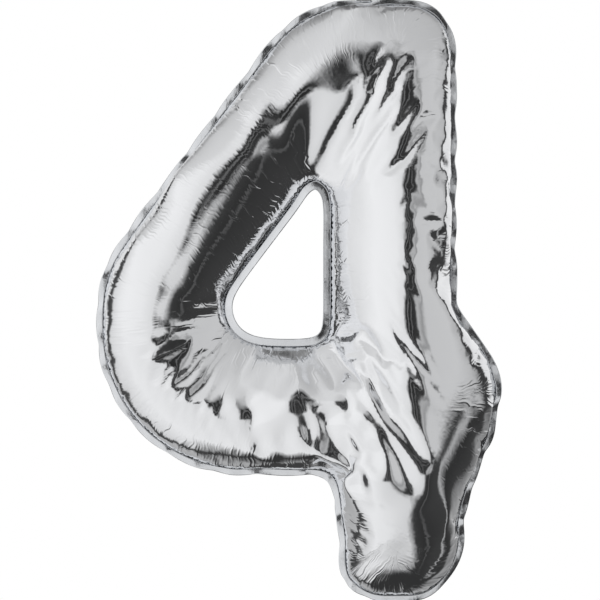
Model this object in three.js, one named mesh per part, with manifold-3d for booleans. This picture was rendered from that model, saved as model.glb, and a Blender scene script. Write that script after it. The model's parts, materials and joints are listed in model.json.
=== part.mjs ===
// Foil number balloon in the shape of a 4: two crowned film panels fused together round the
// outside and round the triangular counter, a punched hanging tab, an inflation tail and the
// self-sealing valve inside the leg.
//
// Millimetres. X runs to the right as the figure is read, Z runs up, the front faces -Y and
// the seam lies in the plane y = 0. The origin is the centre of the hole in the hanging tab.
// The figure is drawn from the foot of the counter's upright side, which is x = 0, z = 0.
// Real film is about 0.05 mm thick; the film thicknesses here are sturdier stand-ins.
import * as THREE from "three";
import { mergeVertices } from "three/addons/utils/BufferGeometryUtils.js";
import Module from "manifold-3d";

// Figure, as inflated, measured to the outer edge of its margins.
const FIGURE_HEIGHT = 860;
const LEFT_REACH = 324; // elbow of the arm to the counter's upright side
const STEM_WIDTH = 190;
const BAR_WIDTH = 194;
const BAR_HEIGHT = 374; // foot of the leg to the crossbar's top edge
const BAR_END_REACH = 63; // how far the crossbar's end stands out past the stem
const BAR_END_FLAT = 69;
const BAR_END_DROP = 39; // crossbar's top edge to the top of its flat end
const CROTCH_RISE = 46; // crossbar's top edge to where its end leaves the stem
const CROTCH_DROP = 48; // crossbar's bottom edge to where its end meets the leg
const ARM_WIDTH = 176;
const ARM_LEAN = THREE.MathUtils.degToRad(37); // from upright
const COUNTER_HEIGHT = 234;
const LEG_WIDTH = 189;
const LEG_INSET = 14; // counter's upright side to the left edge of the leg
const FOOT_WIDTH = 168;
const FOOT_SHIFT = 6; // middle of the foot to the right of the middle of the leg

// Corner radii of the figure's outer edge and of the counter. Where two arcs would meet on a
// short side, both shrink to share it.
const TOP_LEFT_RADIUS = 150;
const TOP_RIGHT_RADIUS = 64;
const ELBOW_TOP_RADIUS = 160;
const ELBOW_BOTTOM_RADIUS = 210;
const LEG_CROTCH_RADIUS = 18;
const FOOT_LEFT_RADIUS = 50;
const FOOT_RIGHT_RADIUS = 70;
const END_CROTCH_TOP_RADIUS = 70;
const END_CROTCH_BOTTOM_RADIUS = 57;
const END_TOP_RADIUS = 23;
const END_BOTTOM_RADIUS = 37;
const COUNTER_TIP_RADIUS = 6;
const COUNTER_HEEL_RADIUS = 17;
const COUNTER_TOE_RADIUS = 46;

// Film, margins and crown.
const FILM = 0.4;
const SEAL = 0.6; // fused layer between the two margins
const OUTER_MARGIN = 8; // outer edge to the seam line
const COUNTER_MARGIN = 11;
const FULLNESS = 0.8; // 1 is a tube of exactly round section

// Hanging tab.
const TAB_WIDTH = 24;
const TAB_HEIGHT = 22;
const TAB_RADIUS = 7;
const TAB_HOLE = 6.5; // diameter
const TAB_HOLE_DROP = 9; // top edge of the tab to the centre of its hole
const TAB_FROM_CURVE = 2; // start of the straight top edge to the side of the tab
const CREASE_GAP = 1.2; // outer edge of the margins to the crease of the tab or the tail

// Inflation tail and valve.
const TAIL_WIDTH = 34;
const TAIL_LENGTH = 86; // along the curl
const PLY_GAP = 0.2;
const VALVE_WIDTH = 30;
const VALVE_LENGTH = 120; // seam line to the lips
const VALVE_FILM = 0.2;
const VALVE_SIDE_GAP = 0.5; // valve film to the seal on each side of the neck
const LIP_GAP = 0.5; // seam line to the pivot of the front valve film
const RELEASE_LENGTH = 45;
const RELEASE_FILM = 0.1;
const RELEASE_WIDTH = 24;

// Mesh density.
const SEAM_PITCH = 16;
const COUNTER_PITCH = 9;
const RING_INSET = 8; // seam line to the first ring of points
const CROWN_PITCH = 25;
const NUDGE = 0.01; // keeps four points from sharing one circle
const RELAX_SWEEPS = 1500;

const figureTop = FIGURE_HEIGHT - BAR_HEIGHT;
const foot = -BAR_HEIGHT;
const seamOffset = SEAL / 2;

const foilFinish = { color: 0xd9dadc, roughness: 0.1, metalness: 1 };
const sealFinish = { color: 0xc9cbce, roughness: 0.22, metalness: 1 };
const valveFinish = { color: 0xe6ebee, roughness: 0.35, metalness: 0 };
const releaseFinish = { color: 0xa9b7c4, roughness: 0.7, metalness: 0 };

const wasm = await Module();
wasm.setup();

// ---- outlines -------------------------------------------------------------------------

// Each corner [x, z, radius] with the directions back and ahead along its two sides, and how
// far from the corner its arc starts.
function cornersWithReach(corners) {
  const count = corners.length;
  const place = (i) => new THREE.Vector2(...corners[(i + count) % count]);
  const plain = corners.map(([, , radius], i) => {
    const here = place(i);
    const back = place(i - 1).sub(here);
    const ahead = place(i + 1).sub(here);
    const half = back.angleTo(ahead) / 2;
    return { here, back, ahead, half, reach: radius / Math.tan(half) };
  });
  return plain.map((corner, i) => {
    const before = plain[(i + count - 1) % count];
    const after = plain[(i + 1) % count];
    const room = Math.min(
      1,
      corner.back.length() / (corner.reach + before.reach),
      corner.ahead.length() / (corner.reach + after.reach),
    );
    return { ...corner, reach: corner.reach * room };
  });
}

// A closed counter-clockwise path through the corners, each rounded by a tangent arc.
function roundedLoop(corners) {
  const path = new THREE.Path();
  cornersWithReach(corners).forEach(({ here, back, ahead, half, reach }) => {
    const start = here.clone().addScaledVector(back, reach / back.length());
    const end = here.clone().addScaledVector(ahead, reach / ahead.length());
    const middle = start.clone().add(end).sub(here).sub(here);
    const centre = middle.setLength(reach / Math.cos(half)).add(here);
    const turnsRight = ahead.cross(back) < 0;
    const from = start.sub(centre);
    const to = end.sub(centre);
    path.absarc(centre.x, centre.y, from.length(), from.angle(), to.angle(), turnsRight);
  });
  return path.closePath();
}

// Where the arm's outer edge passes the height z, and its height at the distance x.
const armEdgeX = (z) =>
  (COUNTER_HEIGHT - z) * -Math.tan(ARM_LEAN) - ARM_WIDTH / Math.cos(ARM_LEAN);
const armEdgeZ = (x) =>
  COUNTER_HEIGHT + (x + ARM_WIDTH / Math.cos(ARM_LEAN)) / Math.tan(ARM_LEAN);

function figureCorners() {
  const stemRight = STEM_WIDTH;
  const endRight = STEM_WIDTH + BAR_END_REACH;
  const legRight = LEG_INSET + LEG_WIDTH;
  const footLeftX = LEG_INSET + (LEG_WIDTH - FOOT_WIDTH) / 2 + FOOT_SHIFT;
  return [
    [stemRight, figureTop, TOP_RIGHT_RADIUS],
    [armEdgeX(figureTop), figureTop, TOP_LEFT_RADIUS],
    [-LEFT_REACH, armEdgeZ(-LEFT_REACH), ELBOW_TOP_RADIUS],
    [-LEFT_REACH, -BAR_WIDTH, ELBOW_BOTTOM_RADIUS],
    [LEG_INSET, -BAR_WIDTH, LEG_CROTCH_RADIUS],
    [footLeftX, foot, FOOT_LEFT_RADIUS],
    [footLeftX + FOOT_WIDTH, foot, FOOT_RIGHT_RADIUS],
    [legRight, -BAR_WIDTH - CROTCH_DROP, END_CROTCH_BOTTOM_RADIUS],
    [endRight, -BAR_END_DROP - BAR_END_FLAT, END_BOTTOM_RADIUS],
    [endRight, -BAR_END_DROP, END_TOP_RADIUS],
    [stemRight, CROTCH_RISE, END_CROTCH_TOP_RADIUS],
  ];
}

function counterCorners() {
  return [
    [0, 0, COUNTER_HEEL_RADIUS],
    [0, COUNTER_HEIGHT, COUNTER_TIP_RADIUS],
    [-COUNTER_HEIGHT * Math.tan(ARM_LEAN), 0, COUNTER_TOE_RADIUS],
  ];
}

// Points spread evenly along a path, moved by the distance to the left of its travel.
function loopPoints(path, pitch, distance) {
  const count = Math.round(path.getLength() / pitch);
  return Array.from({ length: count }, (_, i) => {
    const tangent = path.getTangent(i / count);
    const left = new THREE.Vector2(-tangent.y, tangent.x);
    return path.getPoint(i / count).addScaledVector(left, distance);
  });
}

const figureEdge = roundedLoop(figureCorners());
const counterEdge = roundedLoop(counterCorners());
const outerEdge = loopPoints(figureEdge, SEAM_PITCH, 0);
const outerSeam = loopPoints(figureEdge, SEAM_PITCH, OUTER_MARGIN);
const innerEdge = loopPoints(counterEdge, COUNTER_PITCH, 0);
const innerSeam = loopPoints(counterEdge, COUNTER_PITCH, -COUNTER_MARGIN);

// ---- crown of a panel -----------------------------------------------------------------

function isInside(point, polygon) {
  let inside = false;
  polygon.forEach((a, i) => {
    const b = polygon[(i + 1) % polygon.length];
    const crosses = a.y > point.y !== b.y > point.y;
    if (crosses && point.x < a.x + ((point.y - a.y) / (b.y - a.y)) * (b.x - a.x)) inside = !inside;
  });
  return inside;
}

const isFoil = (point) => isInside(point, outerSeam) && !isInside(point, innerSeam);
const nearest = (point, others) => Math.min(...others.map((o) => o.distanceTo(point)));

// Seam points, a ring just inside each seam, and a staggered lattice over the rest.
function crownPoints() {
  const rings = [
    ...loopPoints(figureEdge, SEAM_PITCH, OUTER_MARGIN + RING_INSET),
    ...loopPoints(counterEdge, COUNTER_PITCH, -COUNTER_MARGIN - RING_INSET),
  ];
  const seams = [...outerSeam, ...innerSeam];
  const lattice = [];
  const box = new THREE.Box2().setFromPoints(outerSeam);
  const rowPitch = CROWN_PITCH * Math.sin(Math.PI / 3);
  for (let row = 0, z = box.min.y; z < box.max.y; row += 1, z += rowPitch) {
    for (let x = box.min.x + (row % 2) * (CROWN_PITCH / 2); x < box.max.x; x += CROWN_PITCH) {
      const point = new THREE.Vector2(x, z);
      if (isFoil(point) && nearest(point, [...seams, ...rings]) > 0.7 * CROWN_PITCH) {
        lattice.push(point);
      }
    }
  }
  return [...seams, ...rings, ...lattice];
}

// A triangle of point numbers with its circumscribed circle.
function circled(points, corners) {
  const [a, b, c] = corners.map((i) => points[i]);
  const [ab, ac] = [b.clone().sub(a), c.clone().sub(a)];
  const twice = 2 * ab.cross(ac);
  const x = (ac.y * ab.lengthSq() - ab.y * ac.lengthSq()) / twice;
  const y = (ab.x * ac.lengthSq() - ac.x * ab.lengthSq()) / twice;
  return { corners, centre: new THREE.Vector2(a.x + x, a.y + y), radiusSq: x * x + y * y };
}

// Delaunay triangles of the points, added one at a time to a triangle round them all.
function delaunay(points) {
  const count = points.length;
  const far = 100 * FIGURE_HEIGHT;
  const all = points.map(
    (p, i) => new THREE.Vector2(p.x + NUDGE * Math.sin(7 * i), p.y + NUDGE * Math.cos(11 * i)),
  );
  all.push(...[[-far, -far], [far, -far], [0, far]].map(([x, y]) => new THREE.Vector2(x, y)));
  let triangles = [circled(all, [count, count + 1, count + 2])];
  for (let i = 0; i < count; i += 1) {
    const rim = new Map();
    const kept = [];
    for (const triangle of triangles) {
      if (all[i].distanceToSquared(triangle.centre) >= triangle.radiusSq) {
        kept.push(triangle);
        continue;
      }
      triangle.corners.forEach((a, k) => {
        const b = triangle.corners[(k + 1) % 3];
        if (!rim.delete(`${b} ${a}`)) rim.set(`${a} ${b}`, [a, b]);
      });
    }
    triangles = [...kept, ...[...rim.values()].map(([a, b]) => circled(all, [a, b, i]))];
  }
  return triangles.map((t) => t.corners).filter((corners) => corners.every((i) => i < count));
}

// Height of the crown over each point. A membrane under even pressure, lap(u) = -1 with
// u = 0 on the seam, gives sqrt(2 u), which is a round tube over a straight strip.
function crownHeights(points, triangles, fixedCount) {
  const area = points.map(() => 0);
  const links = points.map(() => []);
  for (const triangle of triangles) {
    triangle.forEach((a, k) => {
      const [b, c] = [triangle[(k + 1) % 3], triangle[(k + 2) % 3]];
      const [toB, toC] = [points[b].clone().sub(points[a]), points[c].clone().sub(points[a])];
      const weight = toB.dot(toC) / toB.cross(toC) / 2;
      links[b].push([c, weight]);
      links[c].push([b, weight]);
      area[a] += toB.cross(toC) / 6;
    });
  }
  const u = points.map(() => 0);
  for (let sweep = 0; sweep < RELAX_SWEEPS; sweep += 1) {
    for (let i = fixedCount; i < points.length; i += 1) {
      const pull = links[i].reduce((sum, [j, weight]) => sum + weight * u[j], area[i]);
      u[i] = pull / links[i].reduce((sum, [, weight]) => sum + weight, 0);
    }
  }
  return u.map((value) => FULLNESS * Math.sqrt(2 * Math.max(value, 0)));
}

// Only triangles outside the foil have all their corners on the seams, because a ring of
// points follows each seam on the inside.
function makeCrown() {
  const points = crownPoints();
  const fixedCount = outerSeam.length + innerSeam.length;
  const triangles = delaunay(points).filter((corners) => Math.max(...corners) >= fixedCount);
  return { points, triangles, heights: crownHeights(points, triangles, fixedCount) };
}

// ---- mesh helpers ---------------------------------------------------------------------

function geometryOf(vertices, triangles) {
  const geometry = new THREE.BufferGeometry();
  const flat = vertices.flatMap((v) => v.toArray());
  geometry.setAttribute("position", new THREE.Float32BufferAttribute(flat, 3));
  geometry.setIndex(triangles.flat());
  geometry.computeVertexNormals();
  return geometry;
}

function solidOf(geometry) {
  const bare = geometry.clone();
  bare.deleteAttribute("normal");
  bare.deleteAttribute("uv");
  const merged = mergeVertices(bare);
  return new wasm.Manifold(
    new wasm.Mesh({
      numProp: 3,
      vertProperties: new Float32Array(merged.attributes.position.array),
      triVerts: new Uint32Array(merged.index.array),
    }),
  );
}

function cut(geometry, tool) {
  const left = solidOf(geometry).subtract(solidOf(tool)).getMesh();
  const made = new THREE.BufferGeometry();
  made.setAttribute("position", new THREE.BufferAttribute(left.vertProperties, 3));
  made.setIndex(new THREE.BufferAttribute(left.triVerts, 1));
  made.computeVertexNormals();
  return made;
}

// A flat outline in X and Z, extruded along Y between the two depths.
function plate(shape, fromY, toY) {
  const geometry = new THREE.ExtrudeGeometry(shape, {
    depth: toY - fromY,
    bevelEnabled: false,
    curveSegments: 8,
  });
  return geometry.rotateX(Math.PI / 2).translate(0, toY, 0);
}

function strip(left, bottom, width, height, fromY, toY) {
  const geometry = new THREE.BoxGeometry(width, toY - fromY, height);
  return geometry.translate(left + width / 2, (fromY + toY) / 2, bottom + height / 2);
}

function piece(name, geometry, finish, at = [0, 0, 0]) {
  const mesh = new THREE.Mesh(geometry, new THREE.MeshStandardMaterial(finish));
  mesh.name = name;
  mesh.position.set(...at);
  return mesh;
}

// ---- panels and seals -----------------------------------------------------------------

// One skin of a panel as points in space: the crown, then the edges of the two margins.
function skinPoints(crown, side, surfaceY) {
  const place = (p, height) => new THREE.Vector3(p.x, side * (surfaceY + height), p.y);
  return [
    ...crown.points.map((p, i) => place(p, crown.heights[i])),
    ...[...outerEdge, ...innerEdge].map((p) => place(p, 0)),
  ];
}

// Triangles between two matching closed runs of point numbers.
function band(from, onto, count) {
  return Array.from({ length: count }, (_, i) => {
    const next = (i + 1) % count;
    return [
      [from + i, from + next, onto + next],
      [from + i, onto + next, onto + i],
    ];
  }).flat();
}

// A crowned film panel with its flat margins. The inner skin is the outer one moved in by
// the film's thickness along its normals, and straight in from the seam at the foot of the crown.
function foilPanel(crown, side) {
  const outerCount = outerSeam.length;
  const innerCount = innerSeam.length;
  const crownCount = crown.points.length;
  const triangles = [
    ...crown.triangles,
    ...band(crownCount, 0, outerCount),
    ...band(outerCount, crownCount + outerCount, innerCount),
  ];
  const skin = skinPoints(crown, side, seamOffset + FILM);
  const normals = geometryOf(skin, triangles).getAttribute("normal");
  const seams = [
    ...loopPoints(figureEdge, SEAM_PITCH, OUTER_MARGIN + FILM),
    ...loopPoints(counterEdge, COUNTER_PITCH, -COUNTER_MARGIN - FILM),
  ];
  const lining = skin.map((v, i) => {
    if (i < seams.length) return new THREE.Vector3(seams[i].x, side * seamOffset, seams[i].y);
    if (i >= crownCount) return new THREE.Vector3(v.x, side * seamOffset, v.z);
    const normal = new THREE.Vector3().fromBufferAttribute(normals, i);
    return v.clone().addScaledVector(normal, side * FILM);
  });
  const total = skin.length;
  const closed = [
    ...triangles,
    ...triangles.map(([a, b, c]) => [a + total, c + total, b + total]),
    ...band(crownCount + total, crownCount, outerCount),
    ...band(crownCount + outerCount, crownCount + outerCount + total, innerCount),
  ];
  const outward = side < 0 ? closed : closed.map(([a, b, c]) => [a, c, b]);
  return geometryOf([...skin, ...lining], outward);
}

// The fused band round the outside, open at the neck where gas goes in.
function outerSeal(neckX) {
  const shape = new THREE.Shape(outerEdge);
  shape.holes.push(new THREE.Path(outerSeam));
  const ring = plate(shape, -seamOffset, seamOffset);
  const width = VALVE_WIDTH + 2 * VALVE_SIDE_GAP;
  const neck = strip(neckX - width / 2, foot - OUTER_MARGIN, width, 3 * OUTER_MARGIN, -SEAL, SEAL);
  return cut(ring, neck);
}

function counterSeal() {
  const shape = new THREE.Shape(innerSeam);
  shape.holes.push(new THREE.Path(innerEdge));
  return plate(shape, -seamOffset, seamOffset);
}

// ---- tab, tail and valve --------------------------------------------------------------

// The tab stands on its crease, with a punched hole that a cord or a hook goes through.
function hangingTab() {
  const [half, top, round] = [TAB_WIDTH / 2, TAB_HEIGHT, TAB_RADIUS];
  const shape = new THREE.Shape();
  shape.moveTo(-half, 0).lineTo(half, 0).lineTo(half, top - round);
  shape.absarc(half - round, top - round, round, 0, Math.PI / 2);
  shape.absarc(round - half, top - round, round, Math.PI / 2, Math.PI);
  shape.lineTo(-half, 0);
  const hole = new THREE.Path();
  hole.absarc(0, TAB_HEIGHT - TAB_HOLE_DROP, TAB_HOLE / 2, 0, 2 * Math.PI);
  shape.holes.push(hole);
  return plate(shape, -FILM, FILM);
}

// One ply of the tail, curled back and up round the end of the leg from its crease.
function tailPly(curl, fromRadius) {
  const span = TAIL_LENGTH / curl;
  const start = -Math.PI / 2;
  const shape = new THREE.Shape();
  shape.absarc(0, 0, fromRadius + FILM, start, start + span, false);
  shape.absarc(0, 0, fromRadius, start + span, start, true);
  const geometry = new THREE.ExtrudeGeometry(shape, {
    depth: TAIL_WIDTH,
    bevelEnabled: false,
    curveSegments: 14,
  });
  geometry.rotateY(Math.PI / 2).rotateX(Math.PI / 2);
  return geometry.translate(-TAIL_WIDTH / 2, 0, curl);
}

// ---- the balloon ----------------------------------------------------------------------

const crown = makeCrown();
const rounded = cornersWithReach(figureCorners());
const [, topLeft, , , , footLeft, footRight] = rounded;
const neckX = (footLeft.here.x + footLeft.reach + footRight.here.x - footRight.reach) / 2;
const seamBottom = foot + OUTER_MARGIN;
const tabX = topLeft.here.x + topLeft.reach + TAB_FROM_CURVE + TAB_WIDTH / 2;
const tabCrease = figureTop + CREASE_GAP;
const tailCrease = foot - CREASE_GAP;
const tailCurl = (FOOT_WIDTH - 2 * OUTER_MARGIN) / 2 + OUTER_MARGIN + CREASE_GAP;

const balloon = new THREE.Group();
balloon.position.set(-tabX, 0, -(tabCrease + TAB_HEIGHT - TAB_HOLE_DROP));
balloon.add(
  piece("front_foil_panel", foilPanel(crown, -1), foilFinish),
  piece("back_foil_panel", foilPanel(crown, 1), foilFinish),
  piece("outer_heat_seal", outerSeal(neckX), sealFinish),
  piece("counter_heat_seal", counterSeal(), sealFinish),
  piece("hanging_tab", hangingTab(), sealFinish, [tabX, 0, tabCrease]),
  piece("tail_back_ply", tailPly(tailCurl, tailCurl - FILM), foilFinish, [neckX, 0, tailCrease]),
  piece("tail_front_ply", tailPly(tailCurl, tailCurl + PLY_GAP), foilFinish, [neckX, 0, tailCrease]),
);

const valve = new THREE.Group();
valve.position.set(neckX, 0, seamBottom);
const valveLeft = -VALVE_WIDTH / 2;
const backPlyY = seamOffset - VALVE_FILM;
valve.add(
  piece(
    "valve_back_ply",
    strip(valveLeft, -OUTER_MARGIN, VALVE_WIDTH, OUTER_MARGIN + VALVE_LENGTH, backPlyY, seamOffset),
    valveFinish,
  ),
  piece(
    "valve_front_ply",
    strip(valveLeft, LIP_GAP, VALVE_WIDTH, VALVE_LENGTH - LIP_GAP, -seamOffset, -backPlyY),
    valveFinish,
  ),
  piece(
    "valve_release_strip",
    strip(-RELEASE_WIDTH / 2, 0, RELEASE_WIDTH, RELEASE_LENGTH, backPlyY - RELEASE_FILM, backPlyY),
    releaseFinish,
  ),
);
balloon.add(valve);

const root = new THREE.Group();
root.add(balloon);

export default root;
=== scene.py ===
"""Looks of a silver foil number balloon, the figure four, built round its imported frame.

The two film panels are cut flat, joined along their seams and blown up as cloth. What comes
out is eased onto the frame's own seam lines, so every piece sits where the frame says.
Lengths in the size fields are in millimetres; meshes are in metres.
"""

import json
import logging
import math
from dataclasses import dataclass
from enum import Enum
from typing import Any

import bpy
import numpy as np
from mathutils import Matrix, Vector, geometry

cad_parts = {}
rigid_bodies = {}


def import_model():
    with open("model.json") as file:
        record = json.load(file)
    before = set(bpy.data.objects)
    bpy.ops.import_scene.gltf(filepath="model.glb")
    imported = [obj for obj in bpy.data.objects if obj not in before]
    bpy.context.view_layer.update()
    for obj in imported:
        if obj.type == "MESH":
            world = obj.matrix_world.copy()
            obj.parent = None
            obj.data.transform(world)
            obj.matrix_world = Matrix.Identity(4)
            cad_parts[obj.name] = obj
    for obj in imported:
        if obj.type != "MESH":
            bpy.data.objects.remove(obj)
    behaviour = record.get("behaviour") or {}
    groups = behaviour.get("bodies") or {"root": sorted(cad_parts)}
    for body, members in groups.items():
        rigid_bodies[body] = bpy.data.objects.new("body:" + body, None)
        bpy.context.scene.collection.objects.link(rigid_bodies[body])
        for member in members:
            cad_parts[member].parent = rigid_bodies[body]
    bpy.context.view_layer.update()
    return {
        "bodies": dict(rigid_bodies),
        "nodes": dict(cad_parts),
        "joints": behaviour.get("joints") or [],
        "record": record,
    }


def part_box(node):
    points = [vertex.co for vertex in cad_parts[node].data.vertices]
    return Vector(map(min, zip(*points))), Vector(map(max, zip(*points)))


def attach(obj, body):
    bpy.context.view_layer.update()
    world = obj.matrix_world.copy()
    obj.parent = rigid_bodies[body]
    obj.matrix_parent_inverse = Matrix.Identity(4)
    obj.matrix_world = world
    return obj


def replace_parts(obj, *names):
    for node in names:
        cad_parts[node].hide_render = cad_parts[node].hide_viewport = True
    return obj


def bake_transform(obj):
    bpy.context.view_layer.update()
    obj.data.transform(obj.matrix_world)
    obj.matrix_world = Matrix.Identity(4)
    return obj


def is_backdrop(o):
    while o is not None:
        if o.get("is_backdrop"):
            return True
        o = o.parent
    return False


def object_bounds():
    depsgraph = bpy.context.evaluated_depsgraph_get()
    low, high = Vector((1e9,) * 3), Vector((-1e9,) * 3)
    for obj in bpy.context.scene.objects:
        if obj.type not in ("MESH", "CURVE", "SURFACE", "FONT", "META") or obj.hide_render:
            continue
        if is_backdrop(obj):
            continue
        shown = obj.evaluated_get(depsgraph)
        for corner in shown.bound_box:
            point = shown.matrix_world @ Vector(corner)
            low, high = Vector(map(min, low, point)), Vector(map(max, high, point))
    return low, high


MM = 0.001
SEAM_RUN = "seam_run"  # UV map: metres along the nearest seam, and metres away from it
ARC_STEPS = 60  # points drawn along each rounded corner
SIDE_SHARE = 0.48  # most of a side that one rounded corner may take
LOG = logging.getLogger("foil_balloon")


class Side(Enum):
    """Which way a film panel faces: the sign of y on its crown."""

    FRONT = -1
    BACK = 1


class Slot(Enum):
    """Material slots of the record."""

    FOIL = "silver_foil"
    MARGIN = "fused_margin"
    VALVE = "valve_film"
    RELEASE = "release_lacquer"


# ---- colours and nodes -------------------------------------------------------------------


def linear(colour: str) -> tuple[float, float, float, float]:
    """Turns an sRGB colour into linear light.

    Args:
        colour: Six hex digits, such as "e9eaec".

    Returns:
        Red, green, blue and a full alpha, in linear light.
    """
    srgb = np.array([int(colour[i : i + 2], 16) for i in (0, 2, 4)]) / 255
    low, high = srgb / 12.92, ((srgb + 0.055) / 1.055) ** 2.4
    return (*np.where(srgb <= 0.04045, low, high).tolist(), 1.0)


def add(
    tree: bpy.types.NodeTree,
    kind: str,
    settings: dict[str | int, Any] | None = None,
    links: dict[str | int, bpy.types.NodeSocket] | None = None,
) -> bpy.types.Node:
    """Adds a node, sets it and links its inputs.

    Args:
        tree: Node tree to add to.
        kind: Node type, such as "ShaderNodeBump".
        settings: Values by input socket (name or number) or by property name; properties first.
        links: Output sockets by the input socket they go to.

    Returns:
        The new node.
    """
    node = tree.nodes.new(kind)
    for name, value in (settings or {}).items():
        if isinstance(name, int) or name in node.inputs:
            node.inputs[name].default_value = value
        else:
            setattr(node, name, value)
    for name, socket in (links or {}).items():
        tree.links.new(socket, node.inputs[name])
    return node


def surface_material(name: str) -> tuple[bpy.types.Material, bpy.types.Node]:
    """Starts a material with one Principled shader.

    Args:
        name: Name of the material.

    Returns:
        The material and its shader node.
    """
    material = bpy.data.materials.new(name)
    material.use_nodes = True
    return material, material.node_tree.nodes["Principled BSDF"]


# ---- finishes ----------------------------------------------------------------------------


@dataclass(frozen=True)
class MetallisedFilm:
    """Polyester film with a vacuum-coated aluminium face, as blown and sealed.

    To the eye it is a near mirror: sharp reflections, broken by faint handling crinkles and
    by a slight haze that comes and goes over the film.
    """

    name: str = "metallised_polyester_film"
    colour: str = "f1f2f4"
    clear: float = 0.045
    hazy: float = 0.12
    haze_patch: float = 40.0
    crinkle_pitch: float = 7.0
    crinkle_height: float = 0.05
    grain_pitch: float = 1.6
    grain_height: float = 0.004
    pleat_pitch: float = 5.5
    pleat_length: float = 48.0
    pleat_height: float = 1.6
    pleat_reach: float = 110.0
    pleat_fade: float = 1.6

    def material(self) -> bpy.types.Material:
        """Returns the film's material: haze in the roughness, crinkles and grain in the bump."""
        material, shader = surface_material(self.name)
        tree = material.node_tree
        shader.inputs["Base Color"].default_value = linear(self.colour)
        shader.inputs["Metallic"].default_value = 1.0
        place = add(tree, "ShaderNodeTexCoord").outputs["Object"]
        haze = add(
            tree,
            "ShaderNodeTexNoise",
            {"Scale": 1 / (self.haze_patch * MM), "Detail": 3.0},
            {"Vector": place},
        )
        spread = add(
            tree,
            "ShaderNodeMapRange",
            {"From Min": 0.35, "From Max": 0.7, "To Min": self.clear, "To Max": self.hazy},
            {"Value": haze.outputs["Fac"]},
        )
        tree.links.new(spread.outputs["Result"], shader.inputs["Roughness"])
        crinkle = add(
            tree,
            "ShaderNodeTexNoise",
            {
                "noise_type": "RIDGED_MULTIFRACTAL",
                "Scale": 1 / (self.crinkle_pitch * MM),
                "Detail": 1.0,
            },
            {"Vector": place},
        )
        grain = add(
            tree,
            "ShaderNodeTexNoise",
            {"Scale": 1 / (self.grain_pitch * MM), "Detail": 2.0},
            {"Vector": place},
        )
        fine = add(
            tree,
            "ShaderNodeBump",
            {"Distance": self.grain_height * MM, "Strength": 1.0},
            {"Height": grain.outputs["Fac"]},
        )
        coarse = add(
            tree,
            "ShaderNodeBump",
            {"Distance": self.crinkle_height * MM, "Strength": 1.0},
            {"Height": crinkle.outputs["Fac"], "Normal": fine.outputs["Normal"]},
        )
        tree.links.new(coarse.outputs["Normal"], shader.inputs["Normal"])
        self._pleat(tree, fine)
        return material

    def _pleat(self, tree: bpy.types.NodeTree, last: bpy.types.Node) -> None:
        """Adds pleats that run square to the seams and die out away from them.

        Args:
            tree: The material's node tree.
            last: The bump node that takes the pleats' normal.
        """
        run = add(tree, "ShaderNodeUVMap", {"uv_map": SEAM_RUN})
        stretch = (1 / (self.pleat_pitch * MM), 1 / (self.pleat_length * MM), 1.0)
        place = add(tree, "ShaderNodeMapping", {"Scale": stretch}, {"Vector": run.outputs[0]})
        pleats = add(
            tree,
            "ShaderNodeTexNoise",
            {"noise_type": "RIDGED_MULTIFRACTAL", "Scale": 1.0, "Detail": 1.5},
            {"Vector": place.outputs[0]},
        )
        away = add(tree, "ShaderNodeSeparateXYZ", links={0: run.outputs[0]})
        fade = add(
            tree,
            "ShaderNodeMapRange",
            {"From Min": 0.0, "From Max": self.pleat_reach * MM, "To Min": 1.0, "To Max": 0.0},
            {"Value": away.outputs["Y"]},
        )
        power = {"operation": "POWER", 1: self.pleat_fade}
        soft = add(tree, "ShaderNodeMath", power, {0: fade.outputs["Result"]})
        height = add(
            tree,
            "ShaderNodeMath",
            {"operation": "MULTIPLY"},
            {0: pleats.outputs["Fac"], 1: soft.outputs[0]},
        )
        bump = add(
            tree,
            "ShaderNodeBump",
            {"Distance": self.pleat_height * MM, "Strength": 1.0},
            {"Height": height.outputs[0]},
        )
        tree.links.new(bump.outputs["Normal"], last.inputs["Normal"])


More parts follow.
